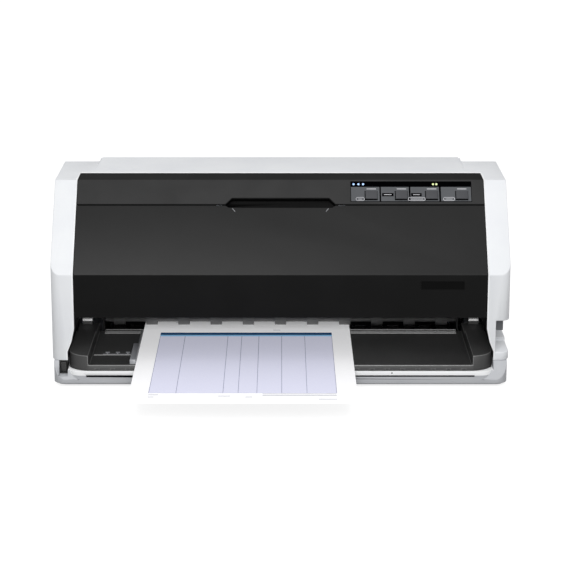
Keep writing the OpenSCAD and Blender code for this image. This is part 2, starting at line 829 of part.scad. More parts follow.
module side_frame_right() {
    color("silver") union() {
        difference() {
            frame_plate();
            rod(frame_half - 5, frame_half + 5, idler_rear_y, motor_z, 4);
        }
        for (y = [idler_front_y, idler_rear_y]) {
            rod(frame_half - 0.5, gear_x + gear_t + 1, y, idler_z, stub_r);
        }
        // bracket that carries the release lever's pivot
        block([frame_half - frame_t, lever_y - 2, lever_z - 2],
              [frame_half + 1.4, frame_y0 - 7, lever_z + 28]);
        block([frame_half, lever_y - 2, lever_z + 24],
              [well_x - 2.4, frame_y0 - 7, lever_z + 26]);
        block([well_x - 4.4, lever_y - 4, lever_z - 6], [well_x - 2.4, lever_y + 4, lever_z + 26]);
        rod(well_x - 4.4, lever_x1 + 0.2, lever_y, lever_z, lever_pin_r);
        // bracket and post of the belt's idler pulley
        block([pulley_half - 6, belt_y - 6, belt_z - 8],
              [frame_half - frame_t / 2, belt_y + 6, belt_z - 6]);
        translate([pulley_half, belt_y, belt_z - 7]) {
            cylinder(h = 4.6 - run, r = 2 * pulley_pin_r);
            cylinder(h = belt_h + 10, r = pulley_pin_r);
        }
    }
}

module rear_frame() {
    color("silver") difference() {
        block([-frame_half, frame_y1, floor_z], [frame_half, frame_y1 + 1.5, frame_z]);
        block([-slot_half - 5, frame_y1 - 1, slot_z[0] - 5],
              [slot_half + 5, frame_y1 + 3, slot_z[1] + 6]);
    }
}

// ---------- paper drive ----------

module feed_shaft() {
    color("gray") rod(-frame_half - 2, gear_x + gear_t + 1, feed_y, roller_z, shaft_r);
}

module feed_rollers() {
    color("#202020") roller_row(feed_y, roller_z, roller_r, shaft_r + bearing, roller_pitch);
}

module feed_gear() {
    color("ivory") gear(roller_teeth, feed_y, roller_z, 0, shaft_r + bearing);
}

module front_pinch_rollers() {
    color("#2b2b2b") {
        rod(-frame_half - 1, frame_half + 1, feed_y, pinch_z, pinch_shaft_r);
        roller_row(feed_y, pinch_z, pinch_r, pinch_shaft_r - 0.1, 2 * roller_pitch);
    }
}

module platen_roller() {
    color("#1a1a1a") {
        rod(-frame_half - 2, gear_x + gear_t + 1, platen_y, roller_z, platen_core_r);
        rod(-frame_half + frame_t + 4, frame_half - frame_t - 4, platen_y, roller_z, roller_r);
    }
}

module platen_gear() {
    color("ivory") gear(roller_teeth, platen_y, roller_z, phase_platen, platen_core_r + bearing);
}

module rear_shaft() {
    color("gray") rod(-frame_half - 2, gear_x + gear_t + 1, rear_y, roller_z, shaft_r);
}

module rear_rollers() {
    color("#202020") roller_row(rear_y, roller_z, roller_r, shaft_r + bearing, 2 * roller_pitch);
}

module rear_gear() {
    color("ivory") gear(roller_teeth, rear_y, roller_z, phase_rear_roller, shaft_r + bearing);
}

module rear_pinch_rollers() {
    color("#2b2b2b") {
        rod(-frame_half - 1, frame_half + 1, rear_y, pinch_z, pinch_shaft_r);
        roller_row(rear_y, pinch_z, pinch_r, pinch_shaft_r - 0.1, 2 * roller_pitch);
    }
}

module idler_gear_front() {
    color("ivory") gear(idler_teeth, idler_front_y, idler_z, phase_front, stub_r + bearing);
}

module idler_gear_rear() {
    color("ivory") gear(idler_teeth, idler_rear_y, idler_z, phase_rear, stub_r + bearing);
}

module feed_motor() {
    color("#4a4a4c") {
        rod(frame_half - frame_t - 22, frame_half - frame_t, idler_rear_y, motor_z, motor_r);
        rod(frame_half - frame_t - 1, frame_half - frame_t + 1.5, idler_rear_y, motor_z, 3.9);
    }
}

module motor_pinion() {
    color("goldenrod") {
        gear(motor_teeth, idler_rear_y, motor_z, phase_motor, 1);
        rod(frame_half - frame_t + 1.8, gear_x + gear_t + 1, idler_rear_y, motor_z, 2);
    }
}

// ---------- print carriage ----------

module carriage_shaft() {
    color("lightgray") rod(-frame_half + 0.2, frame_half - 0.2, rail_y, rail_z, rail_r - 0.05);
}

module front_rail() {
    color("silver") block([-frame_half + frame_t, front_rail_y - 3, rail_z - 4],
                          [frame_half - frame_t, front_rail_y, rail_z + 14]);
}

module carriage() {
    x = park_x;
    color("#343436") difference() {
        union() {
            block([x - carriage_half, front_rail_y + run, rail_z - 18],
                  [x + carriage_half, head_y + 15, rail_z - 4]);
            for (side = [x - carriage_half, x + carriage_half - 4]) {
                block([side, front_rail_y + run, rail_z - 4], [side + 4, head_y + 15, rail_z + 8]);
            }
            block([x - carriage_half, head_y + 13, rail_z - 14],
                  [x + carriage_half, rail_y + 14, rail_z + 12]);
            // finger that grips the belt
            block([x - 10, rail_y + 12, rail_z - 12], [x + 10, belt_y - 3, rail_z + 8]);
        }
        rod(x - 2 * carriage_half, x + 2 * carriage_half, rail_y, rail_z, rail_r + 2);
        // pocket of the print head
        block([x - head_half - fit, head_y - 11 - fit, rail_z - 20],
              [x + head_half + fit, head_y + 11 + fit, rail_z + 20]);
        // slot round the belt's front run
        block([x - 11, belt_y - pulley_r - 2 * run - belt_t, belt_z - run],
              [x + 11, belt_y - pulley_r, belt_z + belt_h + run]);
    }
}

module carriage_bushes() {
    color("darkgoldenrod") for (s = [-1, 1]) difference() {
        xc = park_x + s * (carriage_half - 6);
        rod(xc - 6, xc + 6, rail_y, rail_z, rail_r + 2 - 0.02);
        rod(xc - 7, xc + 7, rail_y, rail_z, rail_r);
    }
}

module print_head() {
    x = park_x;
    color("#77797c") {
        block([x - head_half, head_y - 11, rail_z - 24], [x + head_half, head_y + 11, rail_z + 18]);
        block([x - 5, head_y - 6, tape_z + tape_t + run], [x + 5, head_y + 6, rail_z - 23]);
        for (i = [0:6]) {
            block([x - head_half, head_y - 10.5 + 3.3 * i, rail_z + 17],
                  [x + head_half, head_y - 9 + 3.3 * i, rail_z + 28]);
        }
    }
}

module carriage_motor() {
    color("#4a4a4c") translate([-pulley_half, belt_y, 0]) {
        translate([0, 0, floor_z + 1.5]) cylinder(h = can_h, r = can_r);
        translate([0, 0, floor_z + can_h]) {
            cylinder(h = belt_z + belt_h + 3 - floor_z - can_h, r = pulley_pin_r);
        }
    }
}

module pulley(x) {
    translate([x, belt_y, 0]) difference() {
        union() {
            translate([0, 0, belt_z - 0.9]) cylinder(h = belt_h + 1.8, r = pulley_r);
            translate([0, 0, belt_z - 2.4]) cylinder(h = 1.6, r = pulley_r + 2);
            translate([0, 0, belt_z + belt_h + 0.8]) cylinder(h = 1.6, r = pulley_r + 2);
        }
        translate([0, 0, belt_z - 10]) cylinder(h = belt_h + 20, r = pulley_pin_r + bearing);
    }
}

module drive_pulley() {
    color("goldenrod") pulley(-pulley_half);
}

module idler_pulley() {
    color("ivory") pulley(pulley_half);
}

module drive_belt() {
    r0 = pulley_r + run;
    color("#111111") translate([0, belt_y, belt_z]) linear_extrude(belt_h) difference() {
        polygon(concat(arc([pulley_half, 0], r0 + belt_t, -90, 90, 16),
                       arc([-pulley_half, 0], r0 + belt_t, 90, 270, 16)));
        polygon(concat(arc([pulley_half, 0], r0, -90, 90, 16),
                       arc([-pulley_half, 0], r0, 90, 270, 16)));
    }
}

// ---------- ribbon ----------

module ribbon_cartridge() {
    z1 = cartridge_z + cartridge_h;
    color("#262628") union() {
        slab(round_rect(cartridge_half, cartridge_y0, cartridge_y1, 8, 6), cartridge_z, z1);
        mirrored() {
            block([cartridge_half - 1, cartridge_y0 + 22, cartridge_z],
                  [frame_half, cartridge_y1, cartridge_z + 12]);
            block([tape_half - 3, cartridge_y1 - 12, cartridge_z],
                  [tape_half + 6, head_y + 8, cartridge_z + 12]);
        }
        translate([knob_x, knob_y, z1 - 1]) cylinder(h = 4, r = knob_pin_r);
    }
}

module ribbon_knob() {
    translate([knob_x, knob_y, cartridge_z + cartridge_h + run]) color("#b8b8bc") difference() {
        union() {
            cylinder(h = 8, r = knob_r);
            for (i = [0:11]) rotate([0, 0, 30 * i]) translate([knob_r, 0, 0]) {
                cylinder(h = 8, r = 1);
            }
        }
        translate([0, 0, -1]) cylinder(h = 5, r = knob_pin_r + bearing);
    }
}

module ribbon_tape() {
    color("black") along_y(head_y - tape_w / 2, head_y + tape_w / 2) difference() {
        polygon([[-tape_half, cartridge_z], [-tape_half, tape_z],
                 [tape_half, tape_z], [tape_half, cartridge_z]]);
        polygon([[-tape_half + tape_t, cartridge_z + 1], [-tape_half + tape_t, tape_z + tape_t],
                 [tape_half - tape_t, tape_z + tape_t], [tape_half - tape_t, cartridge_z + 1]]);
    }
}

// ---------- electronics ----------

module main_board() {
    x0 = board_gap - frame_half;
    x1 = frame_half - board_gap - 70;
    z0 = floor_z + 8;
    color("darkgreen") {
        block([x0, board_y, z0], [x1, board_y + 1.6, z0 + 40]);
        for (x = [x0 + 10, x1 - 10], z = [z0 + 6, z0 + 34]) {
            translate([x, frame_y1 + 1.5, z]) rotate([-90, 0, 0]) cylinder(h = 4.2, r = 3);
        }
        block([x0 + 20, board_y + 1.5, z0 + 6], [x0 + 48, board_y + 4.5, z0 + 34]);
        block([x0 + 58, board_y + 1.5, z0 + 10], [x0 + 78, board_y + 4.5, z0 + 26]);
        for (i = [0:2]) translate([x1 - 56 + 16 * i, board_y + 1.5, z0 + 16]) {
            rotate([-90, 0, 0]) cylinder(h = 10, r = 5);
        }
    }
}

module power_supply() {
    x0 = frame_half - board_gap - 70;
    x1 = frame_half - board_gap + 15;
    y0 = rear_y + 13;
    y1 = frame_y1 - 4;
    color("#8a8d90") {
        block([x0, y0, floor_z + 1.5], [x1, y1, floor_z + 3.1]);
        block([x0 + 8, y0 + 4, floor_z + 3], [x0 + 48, y1 - 4, floor_z + 42]);
        for (x = [x1 - 9, x1 - 24]) translate([x, (y0 + y1) / 2, floor_z + 3]) {
            cylinder(h = 30, r = 6);
        }
    }
}

module ac_inlet() {
    color("#1b1b1b") difference() {
        block([inlet_x[0], frame_y1 + 1.5, inlet_z[0]], [inlet_x[1], case_d - 0.5, inlet_z[1]]);
        block([inlet_x[0] + 4, case_d - 18, inlet_z[0] + 3],
              [inlet_x[1] - 4, case_d, inlet_z[1] - 3]);
    }
}

// metal shell of a data connector, open to the rear
module port_shell(x, depth, rim) {
    color("silver") difference() {
        block([x[0], board_y + 1.6, port_z[0]], [x[1], case_d - 0.5, port_z[1]]);
        block([x[0] + rim, case_d - depth, port_z[0] + 2], [x[1] - rim, case_d, port_z[1] - 2]);
    }
}

module parallel_port() {
    port_shell(parallel_x, 8, 6);
}

module usb_port() {
    port_shell(usb_x, 10, 2);
}

// ---------- paper ----------

module paper_sheet() {
    color("white") block([paper_left, -paper_out, paper_z],
                         [paper_left + paper_w, -paper_out + paper_len, paper_z + paper_t]);
}

module place() {
    translate([0, front_shift, 0]) children();
}

place() base_case();
place() top_case();
place() rear_panel();
place() control_strip();
place() finger_tray();
place() control_overlay();
place() indicator_lenses();
place() button_board();
place() key(0);  // key_1
place() key(1);  // key_2
place() key(2);  // key_3
place() key(3);  // key_4
place() front_cover();
place() cover_badge();
place() rear_cover();
place() sheet_guide();
place() stop_blocks();
place() edge_guide();
place() power_switch();
place() power_rocker();
place() release_lever();
place() rubber_feet();
place() chassis_plate();
place() chassis_screws();
place() side_frame_left();
place() side_frame_right();
place() rear_frame();
place() feed_shaft();
place() feed_rollers();
place() feed_gear();
place() front_pinch_rollers();
place() platen_roller();
place() platen_gear();
place() rear_shaft();
place() rear_rollers();
place() rear_gear();
place() rear_pinch_rollers();
place() idler_gear_front();
place() idler_gear_rear();
place() feed_motor();
place() motor_pinion();
place() carriage_shaft();
place() front_rail();
place() carriage();
place() carriage_bushes();
place() print_head();
place() carriage_motor();
place() drive_pulley();
place() idler_pulley();
place() drive_belt();
place() ribbon_cartridge();
place() ribbon_knob();
place() ribbon_tape();
place() main_board();
place() power_supply();
place() ac_inlet();
place() parallel_port();
place() usb_port();
place() paper_sheet();
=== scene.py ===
"""Looks of a flatbed dot matrix printer: its finishes, mouldings, key panel and printed form."""

import json
import math

import bmesh
import bpy
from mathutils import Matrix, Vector


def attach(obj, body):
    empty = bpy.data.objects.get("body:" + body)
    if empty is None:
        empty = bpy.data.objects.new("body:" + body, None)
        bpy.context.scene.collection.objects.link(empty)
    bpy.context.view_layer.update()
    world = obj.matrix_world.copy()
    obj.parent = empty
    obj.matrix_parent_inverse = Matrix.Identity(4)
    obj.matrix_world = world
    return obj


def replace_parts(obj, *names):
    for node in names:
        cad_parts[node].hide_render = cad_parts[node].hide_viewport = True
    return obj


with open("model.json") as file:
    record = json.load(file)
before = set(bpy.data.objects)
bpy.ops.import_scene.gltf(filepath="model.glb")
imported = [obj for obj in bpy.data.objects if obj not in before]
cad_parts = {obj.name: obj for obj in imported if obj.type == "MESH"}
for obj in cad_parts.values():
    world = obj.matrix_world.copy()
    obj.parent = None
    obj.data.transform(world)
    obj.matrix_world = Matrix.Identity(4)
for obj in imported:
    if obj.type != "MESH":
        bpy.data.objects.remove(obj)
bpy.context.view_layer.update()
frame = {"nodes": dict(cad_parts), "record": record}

# ---------- places on the printer, in mm from the front lip ----------

MM = 0.001
LIP_Y = -122  # where the front lip lies in the frame
FACE_Y, CREASE_Z = 12, 119  # foot of the slanted face
BROW_Y, SHOULDER_Z = 85, 205  # head of the slanted face
SLOPE = math.atan2(SHOULDER_Z - CREASE_Z, BROW_Y - FACE_Y)
LID_Y, LID_Z = 190.6, 205.5  # head of the rear cover's underside
LID_FALL = math.radians(12.81)
LIP_TOP, LIP_LINE = 18, 13.5  # the lip's top, and the height above which its front is white
OPENING_X, COLUMN_X = 214, 224.5  # the columns' inner sides lie between these
HATCH_Y = 260  # a plane through the rear opening
BLOCK_FOOT = 34  # the stop blocks are black below this height

PANEL_X, PANEL_W = 74.3, 128.3  # left end and width of the key panel
PANEL_LOW, PANEL_H = 86.4, 24.3  # its lower edge, measured up the slanted face, and its height
KEY_PITCH = 32
KEY_X = [PANEL_X + 22 + KEY_PITCH * i for i in range(4)]
KEY_UP = PANEL_LOW + 7.65
FORM_TOP = 24.55


def at(x, y, z):
    """A point of the case as a point of the frame, in metres."""
    return Vector((x, y + LIP_Y, z)) * MM


def on_slope(x, up, out):
    """A point on the slanted face: across it, up it and out of it."""
    return at(x, FACE_Y + up * math.cos(SLOPE) - out * math.sin(SLOPE),
              CREASE_Z + up * math.sin(SLOPE) + out * math.cos(SLOPE))


def on_lid(x, along, out):
    """A point on the underside of the rear cover: across it, down it and out of it."""
    return at(x, LID_Y + along * math.cos(LID_FALL) + out * math.sin(LID_FALL),
              LID_Z - along * math.sin(LID_FALL) + out * math.cos(LID_FALL))


# ---------- how a finish is made ----------

def linear(hex_colour, alpha=1.0):
    """A colour as a screen shows it, in the shader's linear light."""
    parts = [int(hex_colour[i:i + 2], 16) / 255 for i in (1, 3, 5)]
    return [p / 12.92 if p <= 0.04045 else ((p + 0.055) / 1.055) ** 2.4 for p in parts] + [alpha]


def blank(owner):
    """Empties the nodes of a new material or world."""
    owner.use_nodes = True
    owner.node_tree.nodes.clear()
    return owner


def add(owner, kind, settings=None, inputs=None):
    """Adds a shader node; an input that is a socket is linked, any other is set."""
    node = owner.node_tree.nodes.new("ShaderNode" + kind)
    for name, value in (settings or {}).items():
        setattr(node, name, value)
    for name, value in (inputs or {}).items():
        if isinstance(value, bpy.types.NodeSocket):
            owner.node_tree.links.new(value, node.inputs[name])
        else:
            node.inputs[name].default_value = value
    return node


def shade(finish, surface):
    """Puts a shader on the surface."""
    add(finish, "OutputMaterial", None, {"Surface": surface.outputs[0]})
    return finish


def scaled(finish, sizes):
    """Object coordinates in which a pattern's unit is that many mm along each axis."""
    place = add(finish, "TexCoord")
    mapping = add(finish, "Mapping", None, {
        "Vector": place.outputs["Object"], "Scale": [1 / (size * MM) for size in sizes]})
    return mapping.outputs["Vector"]


def speckle(finish, size, stretch=(1, 1, 1), detail=2.0):
    """Noise whose grains are that many mm across, longer along an axis by its stretch."""
    noise = add(finish, "TexNoise", None, {
        "Vector": scaled(finish, [size * s for s in stretch]), "Scale": 1.0, "Detail": detail})
    return noise.outputs["Fac"]


def between(finish, value, low, high):
    """Maps a pattern's middle range onto low to high."""
    ramp = add(finish, "MapRange", None, {
        "Value": value, "From Min": 0.35, "From Max": 0.65, "To Min": low, "To Max": high})
    return ramp.outputs["Result"]


def toned(finish, value, hex_a, hex_b):
    """Blends two colours by a pattern."""
    mix = add(finish, "Mix", {"data_type": "RGBA"},
              {0: value, 6: linear(hex_a), 7: linear(hex_b)})  # 6 and 7 are the two colours
    return mix.outputs[2]


def skin(finish, value, depth):
    """Relief of that many mm from a pattern."""
    bump = add(finish, "Bump", None, {"Height": value, "Strength": 0.6, "Distance": depth * MM})
    return bump.outputs["Normal"]


def moulded(name, hex_a, hex_b, rough=(0.42, 0.56), grain=0.9, depth=0.035, shine=0.5):
    """Moulded plastic or rubber: the tool's skin over two tones that drift over 40 mm.
    The real grain is about 0.2 mm; it is drawn coarser so that it shows."""
    finish = blank(bpy.data.materials.new(name))
    drift = speckle(finish, 40)
    spark = speckle(finish, grain)
    return shade(finish, add(finish, "BsdfPrincipled", None, {
        "Base Color": toned(finish, between(finish, drift, 0, 1), hex_a, hex_b),
        "Roughness": between(finish, spark, *rough),
        "Normal": skin(finish, spark, depth), "Specular IOR Level": shine}))


def metal(name, hex_a, hex_b, rough, grain, stretch=(1, 1, 1), depth=0.01):
    """Bare metal, mottled or streaked the way it was rolled, ground, cast or turned.
    The real marks are a tenth as wide; they are drawn coarser so that they show."""
    finish = blank(bpy.data.materials.new(name))
    streak = speckle(finish, grain, stretch)
    return shade(finish, add(finish, "BsdfPrincipled", None, {
        "Base Color": toned(finish, between(finish, streak, 0, 1), hex_a, hex_b),
        "Metallic": 1.0, "Roughness": between(finish, streak, *rough),
        "Normal": skin(finish, streak, depth)}))


def circuit_board(name):
    """Green solder mask over etched copper: paler lines every 2.54 mm, where tracks lie."""
    finish = blank(bpy.data.materials.new(name))
    tracks = add(finish, "TexVoronoi", {"distance": "CHEBYCHEV", "feature": "F1"}, {
        "Vector": scaled(finish, [2.54] * 3), "Scale": 1.0, "Randomness": 0.35})
    height = tracks.outputs["Distance"]
    return shade(finish, add(finish, "BsdfPrincipled", None, {
        "Base Color": toned(finish, between(finish, height, 0, 1), "#2f7a4a", "#0f3d24"),
        "Roughness": 0.35, "Normal": skin(finish, height, 0.03)}))


def inked_nylon(name):
    """Woven nylon soaked in ink: dull, with a faint ribbing. The real threads are 0.1 mm
    apart; the ribs are drawn 1 mm apart so that they show."""
    finish = blank(bpy.data.materials.new(name))
    place = add(finish, "TexCoord")
    weave = add(finish, "TexWave", {"bands_direction": "X"}, {
        "Vector": place.outputs["Object"], "Scale": 1 / (math.pi * MM)})
    return shade(finish, add(finish, "BsdfPrincipled", None, {
        "Base Color": toned(finish, weave.outputs["Fac"], "#0b0b0e", "#1a1a20"),
        "Roughness": 0.8, "Normal": skin(finish, weave.outputs["Fac"], 0.05)}))


def paper(name, hex_a, hex_b, painted_glow=0.0):
    """Uncoated paper: its fibres lift the surface a little, and its emission is a painted glow
    that brightens it. Real fibres are 0.03 mm wide and are drawn 0.8 mm wide."""
    finish = blank(bpy.data.materials.new(name))
    fibre = speckle(finish, 0.8, (1, 3, 1), detail=4.0)
    return shade(finish, add(finish, "BsdfPrincipled", None, {
        "Base Color": toned(finish, between(finish, fibre, 0, 1), hex_a, hex_b),
        "Roughness": 0.85, "Specular IOR Level": 0.25, "Normal": skin(finish, fibre, 0.01),
        "Emission Color": linear(hex_a), "Emission Strength": painted_glow}))


def lit_lens(name, hex_glow, strength):
    """Clear moulded acrylic with a small lamp behind it: a coloured spot, paler in places."""
    finish = blank(bpy.data.materials.new(name))
    return shade(finish, add(finish, "BsdfPrincipled", None, {
        "Base Color": toned(finish, speckle(finish, 2), hex_glow, "#f2f6ff"),
        "Roughness": 0.15, "Emission Color": linear(hex_glow), "Emission Strength": strength}))


# ---------- the finishes ----------

# Pale ABS with a spark-eroded skin: matt and even, the brightest line on the front; on the
# opening's bead it is a painted highlight.
lip_abs = moulded("pale_abs_spark_texture", "#f4f5f6", "#f0f1f2", (0.5, 0.62), depth=0.03)
# White ABS with the same skin: a broad soft sheen, and no sharp highlight on the case.
white_abs = moulded("white_abs_spark_texture", "#e3e5e7", "#dfe1e4", (0.5, 0.62), depth=0.03)
# Light grey ABS with the same skin: the base recedes under the white case.
grey_abs = moulded("grey_abs_spark_texture", "#b5b7ba", "#b0b2b6", (0.5, 0.62), depth=0.03)
# Black ABS, moulded satin: a charcoal that hardly reflects the lamps.
strip_abs = moulded("black_abs_satin", "#383838", "#343434", (0.5, 0.6), depth=0.02, shine=0.05)
# The same, painted darker and without sheen on the strip's level top: painted shade on the top
# face.
strip_top_painted_shade_abs = moulded("black_abs_painted_shade_top", "#303030", "#2d2d2d", (0.5, 0.6), depth=0.02, shine=0.0)
# The same, painted near black down in the finger recess and the seam: painted shade, which reads
# as a black line.
strip_painted_shade_abs = moulded("black_abs_painted_shade", "#0c0c0c", "#0a0a0a", (0.5, 0.6), depth=0.02,
                         shine=0.05)
# Smoked polystyrene, moulded in a polished tool: dark, with a wide and gentle gloss.
smoked_styrene = moulded("smoked_styrene", "#171717", "#151515", (0.38, 0.44), grain=2.5,
                         depth=0.008, shine=0.2)
# The same on the upright band below the crease, which mirrors the floor: painted darker and given
# less sheen, painted shade so that it looks blacker.
smoked_painted_shade = moulded("smoked_styrene_painted_shade_below_crease", "#121212", "#101010", (0.42, 0.5),
                     grain=2.5, depth=0.008, shine=0.06)
# Black cast acrylic: smoother than the cover, so the plate shows as a darker block.
badge_acrylic = moulded("black_acrylic", "#060606", "#080808", (0.3, 0.36), grain=3,
                        depth=0.004, shine=0.04)
# Black ABS with a coarser spark-eroded skin: the tray looks dull and slightly dusty.
guide_abs = moulded("black_abs_spark_texture", "#282828", "#252525", (0.5, 0.62), grain=1.1,
                    depth=0.04, shine=0.2)
# Dark grey moulded ABS: half gloss, so the edge guide stands out from the tray.
edge_grey_abs = moulded("dark_grey_abs", "#5c5d60", "#56575a", (0.42, 0.52))
# Grey moulded ABS along thin raised edges: fine pale lines, the tray's scale ticks and painted
# glints at the cover's finger recess.
ticks_and_painted_glints_abs = moulded("grey_abs_ticks_and_painted_glints", "#86878a", "#7d7e82", (0.42, 0.52))
# Light grey moulded ABS: half gloss, the palest pieces in the opening.
block_abs = moulded("light_grey_abs", "#b6b6b6", "#aeaeae", (0.4, 0.5))
# Mid grey moulded ABS, worn a little smooth by fingers: a soft highlight along the lever.
lever_abs = moulded("mid_grey_abs", "#6e7073", "#66686b", (0.4, 0.5))
# Grey ABS key caps with a fine matt skin: a shade darker than the film round them.
key_abs = moulded("key_grey_abs", "#454649", "#404144", (0.5, 0.6), grain=0.7, depth=0.02,
                  shine=0.2)
# Polyester film, screen printed black: flat and deep, so the lit lenses stand out.
panel_black = moulded("printed_film_black", "#020203", "#040405", (0.5, 0.6), grain=1.2,
                      depth=0.01, shine=0.0)
# The same film printed grey: an even field with a weak sheen.
panel_grey = moulded("printed_film_grey", "#535558", "#4e5053", (0.5, 0.6), grain=1.2,
                     depth=0.01, shine=0.2)
# Pale ink printed on the film: crisp small marks.
panel_line = moulded("printed_film_pale", "#b9b9bd", "#acacb0", (0.4, 0.5), grain=1.2, depth=0.01)
# Black nylon, moulded glossy: a small bright highlight on the switch.
switch_black = moulded("black_nylon_gloss", "#101010", "#151515", (0.25, 0.34), grain=1.5,
                       depth=0.01)
# Moulded rubber: black without gloss, with a rough skin.
foot_rubber = moulded("moulded_rubber", "#232323", "#2b2b2b", (0.75, 0.9), grain=1.0, depth=0.06)
# Rubber ground to size: a dull black with a fine tooth.
roller_rubber = moulded("ground_rubber", "#1d1d1e", "#262627", (0.6, 0.75), grain=0.6, depth=0.05)
# Natural acetal, moulded: milky white with a waxy gloss.
gear_acetal = moulded("natural_acetal", "#ebe7da", "#e0dbcb", (0.3, 0.4), grain=3, depth=0.01)
# Nylon moulded with glass fibre: the fibres at its skin leave it dull and mottled.
carriage_nylon = moulded("glass_filled_nylon", "#28282a", "#303032", (0.5, 0.65), grain=1.2,
                         depth=0.05)
# The tray's black ABS, painted paler and smoother on its rounded edges: a thin painted highlight
# along the rims.
guide_painted_highlight_abs = moulded("black_abs_painted_edge_highlight", "#414141", "#3c3c3c", (0.4, 0.5), grain=1.1,
                         depth=0.02)
# Black moulded ABS, painted near black on the columns' inner sides and the tray's deep faces in
# the opening: painted shade, darker than the tray.
opening_painted_shade_abs = moulded("black_abs_painted_shade_in_opening", "#0e0e0e", "#121212", (0.5, 0.62), grain=1.1,
                    depth=0.03, shine=0.1)
# Pressed steel painted black with a weak gloss: painted shade, lost in the dark of the slot.
frame_painted_shade_black = moulded("steel_painted_shade_black", "#141415", "#19191a", (0.4, 0.5), grain=2.0,
                      depth=0.01, shine=0.2)
# Acetal painted near black, as waxy as the natural gears: painted shade for the gears in the dark
# of the slot.
acetal_painted_shade_black = moulded("acetal_painted_shade_black", "#1c1c1d", "#232324", (0.35, 0.45), grain=3, depth=0.01)
# Grey rubber ground to size: dull, paler than the rollers that it presses on.
pinch_rubber = moulded("grey_rubber", "#808080", "#797979", (0.6, 0.75), grain=0.6, depth=0.04)
# Black ABS moulded in a plain tool: a dull cartridge shell.
cartridge_abs = moulded("cartridge_abs", "#202022", "#28282a", (0.45, 0.6), grain=1.2, depth=0.05)
# Pale moulded ABS: the one light part of the cartridge, so that the hand finds it.
knob_abs = moulded("knob_abs", "#b4b4b8", "#aaaaae", (0.4, 0.5))
# Neoprene, moulded round cord: a dead black.
belt_rubber = moulded("neoprene_belt", "#151515", "#1d1d1d", (0.7, 0.85), grain=0.8, depth=0.05)
# Enamel sprayed on drawn steel: black with a clear gloss on the motors.
can_paint = moulded("black_enamel", "#232325", "#2b2b2d", (0.3, 0.42), grain=2.0, depth=0.02)
# Rolled steel, zinc plated: a cool silver with cloudy patches.
zinc_sheet = metal("zinc_plated_steel", "#b9bbbf", "#a3a6ab", (0.32, 0.5), 6)
# Ground steel bar: bright, with fine streaks along the shaft.
ground_steel = metal("ground_steel", "#c6c7c9", "#adaeb1", (0.2, 0.3), 0.5, (60, 1, 1))
# Steel with black oxide: dark grey screws with a weak metal glint.
black_steel = metal("black_oxide_steel", "#4a4b4e", "#3a3b3d", (0.35, 0.5), 1.0)
# Brass with hobbed teeth: small, yellow and bright.
brass = metal("hobbed_brass", "#d8b666", "#c9a552", (0.25, 0.4), 1.0)
# Sintered bronze: brown, and dull from its open pores.
bronze = metal("sintered_bronze", "#a97b46", "#8f6535", (0.45, 0.6), 0.7)
# Cast aluminium: pale grey with the pebbled skin of its die.
cast_aluminium = metal("cast_aluminium", "#9b9da1", "#85878b", (0.45, 0.6), 1.2, depth=0.04)
# These two say above what they give the eye.
board_green = circuit_board("solder_mask")
ribbon = inked_nylon("inked_nylon")
# Bright white uncoated paper: matt, with a slight painted glow beside the grey of the tray.
form_paper = paper("form_paper", "#fbfbfc", "#f8f8fa", painted_glow=0.06)
# Lavender ink in a fine screen over the same paper: a pale tint that is as matt, with the same
# painted glow.
form_tint = paper("form_tint", "#dadbec", "#d6d7ea", painted_glow=0.06)
# Solid dark blue ink: it has no painted glow.
form_band = paper("form_band", "#0f3f6b", "#153f66")
# Light blue ink: a soft line under the dark head.
form_sky = paper("form_sky", "#8fc6ee", "#86bfe8")
# Grey-violet ink in thin rules: they part the columns without standing out.
form_rule = paper("form_rule", "#8d90a8", "#868aa3")
# Grey ink as small type: lines too fine to read.
form_type = paper("form_type", "#a6a8b0", "#9c9ea6")
# Clear acrylic, lit blue and lit yellow-green: five small points of light.
blue_lens = lit_lens("blue_lit_acrylic", "#7fb2f0", 0.6)
green_lens = lit_lens("green_lit_acrylic", "#c8d84a", 0.45)

FINISHES = {node: finish for finish, nodes in (
    (white_abs, "top_case rear_panel rear_cover"),
    (grey_abs, "base_case"),
    (strip_abs, "control_strip"),
    # the finger recess in near-black painted shade
    (strip_painted_shade_abs, "finger_tray"),
    (smoked_styrene, "front_cover"),
    (badge_acrylic, "cover_badge"),
    (guide_abs, "sheet_guide"),
    (edge_grey_abs, "edge_guide"),
    (block_abs, "stop_blocks"),
    (lever_abs, "release_lever"),
    (key_abs, "key_1 key_2 key_3 key_4"),
    (panel_grey, "control_overlay"),
    (switch_black, "power_switch power_rocker ac_inlet"),
    (foot_rubber, "rubber_feet"),
    (zinc_sheet, "chassis_plate rear_frame front_rail parallel_port usb_port"),
    # the side frames in black painted shade
    (frame_painted_shade_black, "side_frame_left side_frame_right"),
    (black_steel, "chassis_screws"),
    (ground_steel, "feed_shaft rear_shaft carriage_shaft"),
    (roller_rubber, "feed_rollers rear_rollers platen_roller rear_pinch_rollers"),
    (pinch_rubber, "front_pinch_rollers"),
    # the front gears in near-black painted shade
    (acetal_painted_shade_black, "feed_gear idler_gear_front"),
    (gear_acetal, "platen_gear rear_gear idler_gear_rear idler_pulley"),
    (brass, "motor_pinion drive_pulley"),
    (can_paint, "feed_motor carriage_motor"),
    (belt_rubber, "drive_belt"),
    (carriage_nylon, "carriage"),
    (bronze, "carriage_bushes"),
    (cast_aluminium, "print_head"),
    (cartridge_abs, "ribbon_cartridge"),
    (knob_abs, "ribbon_knob"),
    (ribbon, "ribbon_tape"),
    (board_green, "button_board main_board power_supply"),
    (blue_lens, "indicator_lenses"),
    (form_paper, "paper_sheet"),
) for node in nodes.split()}

for node_name, node_finish in FINISHES.items():
    cad = frame["nodes"][node_name]
    cad.data.materials.clear()
    cad.data.materials.append(node_finish)


# ---------- making pieces ----------

